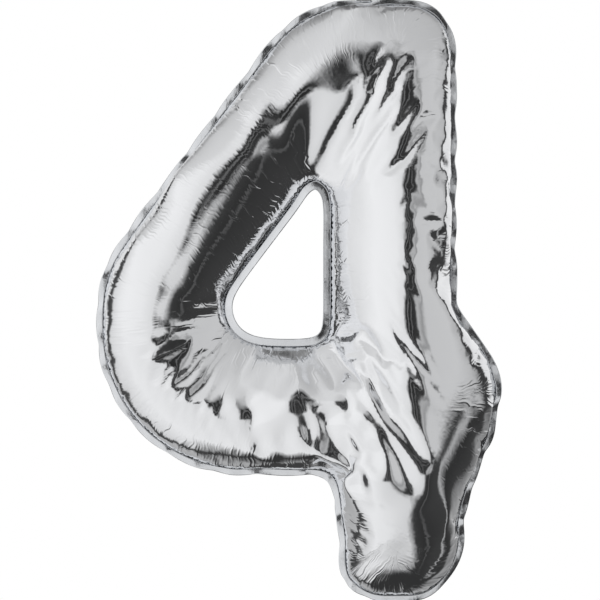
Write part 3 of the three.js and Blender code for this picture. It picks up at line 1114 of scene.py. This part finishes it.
@dataclass(frozen=True)
class FusedMargin:
    """A flat margin outside a seam, where both films are fused, ruffled between its pinches.

    Its first row is the seam as the gas left it. The other rows go straight out from the
    smoothed seam, further in the middle of each scallop, by the sine of the way along it,
    and wave to front and back. It stays flat at the tail's root, so that the tail has room
    to swing.
    """

    node: str
    width: float
    scallop_pitch: float = 64.0
    scallop: float = 3.0
    scallop_power: float = 0.7
    scallop_trim: float = 0.4
    curl: float = 0.9
    curl_power: float = 1.5
    ruffle: float = 1.5
    ruffle_pitch: float = 40.0
    even_over: float = 9.0
    unevenness: float = 0.02
    film: float = 0.3
    rows: int = 5
    levels: int = 1
    seed: int = 11
    downward: float = 0.2
    least: float = 2.0
    flat_fade: float = 15.0
    flat_rise: float = 40.0

    def build(self, seam: np.ndarray, fused: bpy.types.Material) -> bpy.types.Object:
        """Makes the margin along a seam.

        Args:
            seam: The seam's vertices in metres, counter-clockwise from the front.
            fused: The margin's finish.

        Returns:
            The margin piece.
        """
        gap = np.linalg.norm(np.roll(seam, -1, 0) - seam, axis=1).mean()
        even = averaged_round(seam, self.even_over * MM / gap)
        out = moved_out(even[:, ::2], 1.0) - even[:, ::2]
        along = np.arange(len(seam)) * gap / MM
        total = along[-1] + gap / MM
        scallops = max(1, round(total / self.scallop_pitch))
        phase = math.pi * scallops * self._uneven(along / total)
        bulge = self.scallop * np.abs(np.sin(phase)) ** self.scallop_power
        wave = self._ruffles(along / total, max(1, round(total / self.ruffle_pitch)))
        share = np.linspace(0, 1, self.rows)[:, None]
        trim = self.scallop_trim * self.scallop
        reach = share * (self.width + np.sign(self.width) * (bulge - trim)) * MM
        points = np.zeros((self.rows, len(seam), 3))
        start = seam * (1 - share[:, :, None]) + even * share[:, :, None]
        points[:, :, ::2] = start[:, :, ::2] + reach[:, :, None] * out[None]
        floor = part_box(self.node)[0].z
        room = (seam[:, 2] - floor) / np.maximum(-out[:, 1], self.downward)
        low = out[:, 1] < -self.downward
        most = share * np.maximum(room[low], self.least * MM)
        reach[:, low] = np.minimum(reach[:, low], most)
        lean = self.curl * share**self.curl_power + self.ruffle * share * wave
        lean = lean * (1 - self._beside_tail(seam))
        points[:, :, 1] = start[:, :, 1] + lean * MM
        if self.width < 0:
            points = points[::-1]
        faces = grid_faces(self.rows, len(seam), closed=True)
        piece = new_object(f"{self.node}_margin", points.reshape(-1, 3), faces)
        refine(piece, self.levels)
        thicken(piece, self.film * MM, 0)
        dress(piece, fused)
        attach(piece, "envelope")
        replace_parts(piece, self.node)
        return piece

    def _beside_tail(self, seam: np.ndarray) -> np.ndarray:
        """Finds where the margin lies at the tail's root and has to stay flat.

        Args:
            seam: The seam's vertices, in metres.

        Returns:
            1 for the vertices there, falling to 0 beside it.
        """
        low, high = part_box("tail_back_ply")
        aside = np.abs(seam[:, 0] - (low.x + high.x) / 2) - (high.x - low.x) / 2
        above = seam[:, 2] - low.z
        beside = np.clip(1 - np.maximum(aside, 0) / (self.flat_fade * MM), 0, 1)
        return beside * (above < self.flat_rise * MM)

    def _ruffles(self, share: np.ndarray, waves: int) -> np.ndarray:
        """Makes waves of uneven length and height round a loop, as a sum of sines.

        Args:
            share: The way round the loop, from 0 to 1.
            waves: How many waves go round it in the mean.

        Returns:
            The waves' height at each place.
        """
        random = np.random.default_rng(self.seed + 1)
        counts = np.unique(np.round(waves * np.array([0.4, 0.6, 0.85, 1.0, 1.25, 1.6])))
        heights = random.uniform(0.3, 1.0, len(counts))
        phases = random.uniform(0, 2 * math.pi, len(counts))
        return (np.sin(2 * math.pi * share[:, None] * counts + phases) * heights).sum(1) / 1.5

    def _uneven(self, share: np.ndarray) -> np.ndarray:
        """Shifts the way round a loop by a few slow sines, so that no two scallops match.

        Args:
            share: The way round the loop, from 0 to 1.

        Returns:
            The shifted way.
        """
        random = np.random.default_rng(self.seed)
        shift = np.zeros_like(share)
        for turns in (2, 3, 5, 7, 11):
            size = random.normal(0, self.unevenness / turns)
            shift += size * np.sin(2 * math.pi * (turns * share + random.random()))
        return share + shift - shift[0]


@dataclass(frozen=True)
class Envelope:
    """The blown body: two crowned film panels, and the fused margins round them."""

    pattern: CutPattern = CutPattern()
    inflation: Inflation = Inflation()
    fit: SeamFit = SeamFit()
    taut: tuple[TautStretch, ...] = (
        TautStretch((-325.0, -400.0), (-110.0, -105.0)),
        TautStretch((-130.0, -570.0), (40.0, -700.0), 55.0, 110.0, rounds=7),
    )
    pleats: SeamPleats = SeamPleats()
    outer_margin: FusedMargin = FusedMargin("outer_heat_seal", 8.0)
    counter_margin: FusedMargin = FusedMargin(
        "counter_heat_seal", -11.0, scallop=0.0, curl=-2.6, ruffle=0.4
    )
    film: float = 0.15

    def build(
        self, frame: dict, foil: bpy.types.Material, fused: bpy.types.Material
    ) -> list[bpy.types.Object]:
        """Makes the panels and the margins.

        Args:
            frame: The loaded frame.
            foil: Finish of the panels.
            fused: Finish of the margins.

        Returns:
            The four pieces.
        """
        outer, counter = outlines_of(frame["nodes"]["back_foil_panel"])[:2]
        outer = moved_out(outer, -self.pattern.outer_margin * MM)
        counter = moved_out(counter, self.pattern.counter_margin * MM)
        cut = self.pattern.cut([outer, counter])
        flat = self.pattern.film(*cut, self.pattern.pitch)
        full = self.inflation.blown(flat)
        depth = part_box("back_foil_panel")[1].y
        points = self.fit.eased(full, flat, outer, counter, depth)
        for stretch in self.taut:
            points = stretch.drawn(points, flat)
        runs = self._seam_runs(flat)
        made = []
        for side, faces in ((Side.FRONT, flat.front), (Side.BACK, flat.back)):
            name = f"{side.name.lower()}_foil_panel"
            made.append(self._panel(name, points, faces, runs, foil))
        made.append(self.outer_margin.build(points[flat.outer_seam], fused))
        made.append(self.counter_margin.build(points[flat.counter_seam], fused))
        return made

    def _seam_runs(self, flat: FlatFilm) -> tuple[np.ndarray, np.ndarray]:
        """Measures the flat film along and away from each of its seams.

        A seam's run starts at its lower right corner, where folds hide its ends.

        Args:
            flat: The film as it was cut.

        Returns:
            For each seam and vertex, the way along the seam and the distance from it, in
            metres, and each seam's length.
        """
        plane = flat.points[:, ::2]
        runs, lengths = [], []
        for seam in (flat.outer_seam, flat.counter_seam):
            line = plane[np.roll(seam, -int((plane[seam, 0] - plane[seam, 1]).argmax()))]
            sides = np.linalg.norm(np.roll(line, -1, 0) - line, axis=1)
            apart = np.linalg.norm(plane[:, None] - line[None], axis=2)
            runs.append(np.stack([(np.cumsum(sides) - sides)[apart.argmin(1)], apart.min(1)], 1))
            lengths.append(sides.sum())
        return np.array(runs), np.array(lengths)

    def _panel(
        self,
        node: str,
        points: np.ndarray,
        faces: np.ndarray,
        runs: tuple[np.ndarray, np.ndarray],
        foil: bpy.types.Material,
    ) -> bpy.types.Object:
        """Makes one film panel, rounded, pleated and given its thickness.

        Args:
            node: Frame node that the panel stands for.
            points: Vertices of the whole film, in metres.
            faces: The panel's triangles.
            runs: What _seam_runs returns.
            foil: Finish of the panel.

        Returns:
            The panel.
        """
        away, lengths = runs[0][:, :, 1], runs[1]
        nearest = away[:, faces].sum(2).argmin(0)
        corner = runs[0][nearest[:, None], faces]
        behind = corner[..., 0].max(1, keepdims=True) - corner[..., 0]
        corner[..., 0] += lengths[nearest][:, None] * (behind > lengths[nearest][:, None] / 2)
        used, own = np.unique(faces, return_inverse=True)
        piece = new_object(f"{node}_film", points[used], own.reshape(-1, 3).tolist())
        layer = piece.data.uv_layers.new(name=SEAM_RUN)
        layer.data.foreach_set("uv", corner.ravel())
        run = np.where((away[0] < away[1])[:, None], *runs[0])
        gathers = piece.data.attributes.new("run", "FLOAT2", "POINT")
        gathers.data.foreach_set("vector", run[used].ravel())
        refine(piece, 1)
        self.pleats.press(piece)
        thicken(piece, self.film * MM, -1)
        dress(piece, foil)
        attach(piece, "envelope")
        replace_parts(piece, node)
        return piece


@dataclass(frozen=True)
class HangingTab:
    """A punched tab of fused film that stands on the top margin, its foot reaching below the crease."""

    corner: float = 7.0
    foot: float = 4.0
    hole: float = 6.5
    film: float = 0.45
    wave: float = 0.22
    wave_up: float = 4.1
    wave_across: float = 5.3
    crowding: float = 1.3
    pitch: float = 1.5
    rings: int = 9
    bend: float = 2.2

    def build(self, fused: bpy.types.Material) -> bpy.types.Object:
        """Makes the tab from its hole outwards.

        Each ring is the hole's circle at share 0 and the rounded outline at share 1, and
        the film waves by the sine of its height times the cosine of its place across.

        Args:
            fused: The tab's finish.

        Returns:
            The tab.
        """
        low, high = (np.array(c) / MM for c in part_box("hanging_tab"))
        crease = low[2]
        corners = [
            (low[0], crease - self.foot, 0.5),
            (high[0], crease - self.foot, 0.5),
            (high[0], high[2], self.corner),
            (low[0], high[2], self.corner),
        ]
        outline = rounded_loop(np.array(corners), self.pitch)
        circle = self.hole / 2 * outline / np.linalg.norm(outline, axis=1)[:, None]
        share = np.linspace(0, 1, self.rings)[:, None, None] ** self.crowding
        plane = circle * (1 - share) + outline * share
        wave = self.wave * np.sin(plane[..., 1] / self.wave_up)
        wave = wave * np.cos(plane[..., 0] / self.wave_across)
        points = np.stack([plane[..., 0], wave, plane[..., 1]], 2).reshape(-1, 3) * MM
        tab = new_object("hanging_tab_film", points, grid_faces(*plane.shape[:2], closed=True))
        tab.data.flip_normals()
        thicken(tab, self.film * MM, 0)
        dress(tab, fused)
        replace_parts(tab, "hanging_tab")
        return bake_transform(tab)


@dataclass(frozen=True)
class FillingTail:
    """Two loose plies of film past the seam of the foot, where the filling nozzle goes in.

    They fold back at the margin and curl up behind the leg, one over the other.
    """

    curl: float = 85.2
    length: float = 86.0
    root: float = 7.0
    root_offset: float = 0.5
    outer_start: float = 0.6
    smooth_root: float = 12.0
    ripple_share: float = 0.6
    film: float = 0.12
    gap: float = 0.4
    crinkle: float = 0.5
    crinkle_pitch: float = 17.0
    crinkle_count: int = 9
    columns: int = 25
    rows: int = 90
    bend: float = 3.6
    seed: int = 23

    def build(self, foil: bpy.types.Material) -> list[bpy.types.Object]:
        """Makes both plies.

        Args:
            foil: The tail's finish.

        Returns:
            The inner ply and the outer ply.
        """
        low, high = (np.array(c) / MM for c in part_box("tail_back_ply"))
        crease = low[2]
        inner = self._ply("tail_back_ply", low[0], high[0], crease, 0.0, -self.root, foil)
        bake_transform(inner)
        outer = self._ply(
            "tail_front_ply", low[0], high[0], crease, self.gap, self.outer_start, foil
        )
        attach(outer, "tail_mouth")
        return [inner, outer]

    def _ply(
        self,
        node: str,
        left: float,
        right: float,
        crease: float,
        out: float,
        first: float,
        foil: bpy.types.Material,
    ) -> bpy.types.Object:
        """Makes one ply along its curl.

        From the crease the ply runs round a circle about the middle of the foot: at a
        length l along it, it is curl times the sine of l over curl behind the seam plane. A
        negative l goes straight up the margin. Crinkles move the film along the radius.

        Args:
            node: Frame node that the ply stands for.
            left: Lowest x.
            right: Highest x.
            crease: Height of the fold.
            out: How far outside the inner ply it lies.
            first: Length at which it starts.
            foil: Finish of the ply.

        Returns:
            The ply, riding on nothing yet.
        """
        along, across = np.meshgrid(
            np.linspace(first, self.length, self.rows), np.linspace(0, 1, self.columns), indexing="ij"
        )
        ripple = self.crinkle * self._crinkles(along, across * (right - left))
        ripple *= np.clip(along / self.smooth_root, 0, 1)
        turn = np.clip(along, 0, None) / self.curl
        radius = self.curl + out - ripple * self.ripple_share
        x = left + across * (right - left)
        y = radius * np.sin(turn) + np.where(along < 0, self.root_offset, 0.0)
        z = crease + self.curl - radius * np.cos(turn) - np.where(along < 0, along, 0.0)
        points = np.stack([x, y, z], 2).reshape(-1, 3) * MM
        ply = new_object(f"{node}_film", points, grid_faces(self.rows, self.columns))
        layer = ply.data.uv_layers.new(name=SEAM_RUN)
        corners = np.array([v for face in grid_faces(self.rows, self.columns) for v in face])
        aside = np.minimum(across, 1 - across) * (right - left)
        run = np.stack([x, aside], 2).reshape(-1, 2) * MM
        layer.data.foreach_set("uv", run[corners].ravel())
        thicken(ply, self.film * MM, 0)
        dress(ply, foil)
        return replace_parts(ply, node)

    def _crinkles(self, along: np.ndarray, across: np.ndarray) -> np.ndarray:
        """Makes crinkles, as the mean of folded sines that run across each other.

        Args:
            along: Length along the ply, in millimetres.
            across: Place across it, in millimetres.

        Returns:
            Heights between -1 and 1.
        """
        random = np.random.default_rng(self.seed)
        height = np.zeros_like(along)
        for _ in range(self.crinkle_count):
            bearing, phase = random.uniform(0, math.pi), random.uniform(0, 2 * math.pi)
            pitch = self.crinkle_pitch * random.uniform(0.5, 1.6)
            way = along * math.cos(bearing) + across * math.sin(bearing)
            height += np.abs(np.sin(math.pi * way / pitch + phase)) - 0.5
        return 2 * height / self.crinkle_count


@dataclass(frozen=True)
class FillingValve:
    """The valve in the neck: two flat plies of clear film that the gas presses shut.

    A strip of lacquer between them keeps them from fusing where the neck is sealed.
    """

    film: float = 0.1
    fill: float = 0.9
    wave: float = 0.05
    half_waves: int = 9
    bow: float = 2.4
    lip: float = 0.012
    columns: int = 17
    rows: int = 61

    def build(self, clear: bpy.types.Material, lacquer: bpy.types.Material) -> list[bpy.types.Object]:
        """Makes the plies and the strip.

        Args:
            clear: Finish of the plies.
            lacquer: Finish of the strip.

        Returns:
            The three pieces.
        """
        made = []
        for node, body, slot, finish in (
            ("valve_back_ply", "envelope", Slot.VALVE, clear),
            ("valve_front_ply", "valve_lip", Slot.VALVE, clear),
            ("valve_release_strip", "envelope", Slot.RELEASE, lacquer),
        ):
            piece = self._strip(node)
            dress(piece, finish)
            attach(piece, body)
            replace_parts(piece, node)
            made.append(piece)
        return made

    def _strip(self, node: str) -> bpy.types.Object:
        """Makes one flat film in a node's box.

        It waves by the sine of its height times the cosine of its place across, and its
        upper edge drops by the square of its place across.

        Args:
            node: Frame node that the film stands for.

        Returns:
            The film, riding on nothing yet.
        """
        low, high = (np.array(c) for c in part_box(node))
        v = np.linspace(0, 1, self.rows)
        v, u = np.meshgrid(v, np.linspace(-1, 1, self.columns), indexing="ij")
        x = (low[0] + high[0]) / 2 + u * (high[0] - low[0]) / 2
        lip = self.lip * (high[2] - low[2]) * u**2 * v
        z = low[2] + v * (high[2] - low[2]) - lip
        room = max(0.0, (high[1] - low[1]) / MM - self.film) / 2
        wave = np.sin(self.half_waves * math.pi * v) * np.cos(self.bow * u)
        y = (low[1] + high[1]) / 2 + min(self.wave, room) * MM * wave
        piece = new_object(
            f"{node}_film", np.stack([x, y, z], 2).reshape(-1, 3), grid_faces(self.rows, self.columns)
        )
        thicken(piece, min(self.film * MM, self.fill * (high[1] - low[1])), 0)
        return piece


# ---- studio ------------------------------------------------------------------------------


@dataclass(frozen=True)
class Studio:
    """Pale floor, soft light from bright and dark walls, and the camera, square to the figure."""

    lens: float = 85.0
    sensor: float = 36.0
    view_height: float = 860.0
    view_centre: tuple[float, float] = (-91.3, -444.2)
    floor_drop: float = 160.0
    floor_half: float = 600.0
    floor_roll: float = 20.0
    floor_count: int = 41
    upper_light: tuple[tuple[float, float], ...] = (
        (-180, 0.05), (-172, 0.05), (-166, 0.7), (-118, 0.85), (-112, 0.05), (-100, 0.08), (-92, 0.75),
        (-60, 0.95), (-30, 0.9), (-10, 0.78), (-3, 0.03), (1, 0.02), (2.2, 0.3), (3.6, 0.02),
        (9, 0.03), (10.2, 0.22), (11, 0.03), (18, 0.04), (22, 0.5), (28, 0.3), (33, 0.6), (70, 0.62),
        (95, 0.5), (103, 0.04), (112, 0.05), (118, 0.8), (160, 0.95), (172, 0.05),
    )
    lower_light: tuple[tuple[float, float], ...] = (
        (-180, 0.05), (-172, 0.05), (-166, 0.4), (-118, 0.5), (-112, 0.05), (-100, 0.08), (-92, 0.7),
        (-60, 0.9), (-20, 0.82), (10, 0.7), (20, 0.045), (34, 0.03), (36, 0.12), (39, 0.035),
        (60, 0.045), (78, 0.05), (82, 0.45), (90, 0.03), (112, 0.05), (124, 0.2), (160, 0.45), (172, 0.05),
    )
    sky_light: tuple[tuple[float, float], ...] = (
        (-180, 0.1), (-150, 0.25), (-120, 0.45), (-100, 0.6), (-20, 0.75), (20, 0.58), (100, 0.5),
        (120, 0.45), (150, 0.25),
    )
    ground_light: float = 0.035
    low_step: tuple[float, float] = (-0.12, -0.04)
    high_step: tuple[float, float] = (0.42, 0.62)
    ground_step: tuple[float, float] = (-0.84, -0.97)

    def build(self) -> None:
        """Makes the floor, the light and the camera."""
        self._world()
        self._floor()
        self._camera()

    def _world(self) -> None:
        """Lights the scene from the left, more dimly from high on the right, and dark between.

        Brightness goes by bearing, from 0 straight at the camera and positive to the right,
        and on the right by height as well.
        """
        world = bpy.data.worlds.new("studio")
        bpy.context.scene.world = world
        world.use_nodes = True
        tree = world.node_tree
        way = add(tree, "ShaderNodeTexCoord").outputs["Generated"]
        axis = add(tree, "ShaderNodeSeparateXYZ", links={0: way})
        toward = add(tree, "ShaderNodeMath", {"operation": "MULTIPLY", 1: -1.0}, {0: axis.outputs["Y"]})
        bearing = add(
            tree,
            "ShaderNodeMath",
            {"operation": "ARCTAN2"},
            {0: axis.outputs["X"], 1: toward.outputs[0]},
        )
        share = add(
            tree,
            "ShaderNodeMapRange",
            {"From Min": -math.pi, "From Max": math.pi},
            {"Value": bearing.outputs[0]},
        )
        upper, lower, sky = (
            self._ramp(tree, share.outputs["Result"], stops)
            for stops in (self.upper_light, self.lower_light, self.sky_light)
        )
        height = axis.outputs["Z"]
        level = self._step(tree, height, *self.low_step)
        walls = self._mixed(tree, level, lower, upper)
        overhead = self._step(tree, height, *self.high_step)
        walls = self._mixed(tree, overhead, walls, sky)
        ground = self._step(tree, height, *self.ground_step)
        under = add(tree, "ShaderNodeRGB")
        under.outputs[0].default_value = (self.ground_light,) * 3 + (1,)
        round_light = self._mixed(tree, ground, walls, under.outputs[0])
        soft = add(tree, "ShaderNodeBackground", {"Strength": 1.0}, {"Color": round_light})
        plain = add(tree, "ShaderNodeBackground", {"Color": (1, 1, 1, 1)})
        ray = add(tree, "ShaderNodeLightPath").outputs
        even = add(
            tree,
            "ShaderNodeMath",
            {"operation": "MAXIMUM"},
            {0: ray["Is Camera Ray"], 1: ray["Is Diffuse Ray"]},
        )
        both = add(
            tree, "ShaderNodeMixShader", links={0: even.outputs[0], 1: soft.outputs[0], 2: plain.outputs[0]}
        )
        tree.links.new(both.outputs[0], tree.nodes["World Output"].inputs["Surface"])

    def _step(
        self, tree: bpy.types.NodeTree, value: bpy.types.NodeSocket, low: float, high: float
    ) -> bpy.types.NodeSocket:
        """Returns a socket that goes from 0 to 1 as the value goes from low to high."""
        limits = {"From Min": low, "From Max": high}
        return add(tree, "ShaderNodeMapRange", limits, {"Value": value}).outputs["Result"]

    def _mixed(
        self,
        tree: bpy.types.NodeTree,
        share: bpy.types.NodeSocket,
        *two: bpy.types.NodeSocket,
    ) -> bpy.types.NodeSocket:
        """Returns the mix of two colours, all the second at share 1."""
        links = {"Factor": share, 6: two[0], 7: two[1]}
        return add(tree, "ShaderNodeMix", {"data_type": "RGBA"}, links).outputs[2]

    def _ramp(
        self, tree: bpy.types.NodeTree, along: bpy.types.NodeSocket, stops: tuple[tuple[float, float], ...]
    ) -> bpy.types.NodeSocket:
        """Adds a ramp of brightness by bearing.

        Args:
            tree: The world's node tree.
            along: The bearing, as 0 to 1 for -180 to 180 degrees.
            stops: Pairs of bearing in degrees and brightness.

        Returns:
            The ramp's colour socket.
        """
        ramp = add(tree, "ShaderNodeValToRGB", links={0: along})
        elements = ramp.color_ramp.elements
        elements.remove(elements[1])
        elements[0].position, elements[0].color = 0, (*[stops[0][1]] * 3, 1)
        for bearing, value in stops[1:]:
            elements.new(bearing / 360 + 0.5).color = (value, value, value, 1)
        return ramp.outputs["Color"]

    def _floor(self) -> None:
        """Makes a pale matt floor under the figure, with a rolled edge."""
        low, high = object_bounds()
        centre = (low + high) / 2
        count = self.floor_count
        u = np.linspace(-1, 1, count)
        x, y = np.meshgrid(u, u, indexing="ij")
        reach = np.maximum(np.abs(x), np.abs(y))
        z = low.z - self.floor_drop * MM - self.floor_roll * MM * reach**12
        points = np.stack(
            [centre.x + x * self.floor_half * MM, centre.y + y * self.floor_half * MM, z], 2
        )
        floor = new_object("studio_floor", points.reshape(-1, 3), grid_faces(count, count))
        material, shader = surface_material("matt_paper_floor")
        shader.inputs["Base Color"].default_value = linear("e8e8e6")
        shader.inputs["Roughness"].default_value = 0.9
        floor.data.materials.append(material)
        floor.visible_glossy = False
        floor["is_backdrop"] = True

    def _camera(self) -> None:
        """Puts the camera level with the figure's middle, far enough off to frame it."""
        data = bpy.data.cameras.new("camera")
        data.lens, data.sensor_width = self.lens, self.sensor
        camera = bpy.data.objects.new("camera", data)
        bpy.context.scene.collection.objects.link(camera)
        x, z = self.view_centre
        away = self.view_height * self.lens / self.sensor
        camera.location = (x * MM, -away * MM, z * MM)
        camera.rotation_euler = (math.pi / 2, 0, 0)
        bpy.context.scene.camera = camera


def main() -> None:
    """Builds the balloon's pieces in order."""
    logging.basicConfig(level=logging.INFO, format="%(name)s: %(message)s")
    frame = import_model()
    bpy.context.scene.view_settings.view_transform = "Standard"
    foil, fused = MetallisedFilm().material(), FusedFilm().material()
    clear = CastFilm("cast_polyethylene_film", "e6ebee", "f2f5f6", 3.0, 0.3, clear=0.5).material()
    lacquer = CastFilm("printed_release_lacquer", "a9b7c4", "bcc7d1", 0.8, 0.7).material()
    pieces = Envelope().build(frame, foil, fused)
    pieces.append(HangingTab().build(fused))
    pieces += FillingTail().build(foil)
    pieces += FillingValve().build(clear, lacquer)
    for piece in pieces:
        LOG.info("%s: %d faces", piece.name, len(piece.data.polygons))
    Studio().build()


if __name__ == "__main__":
    main()
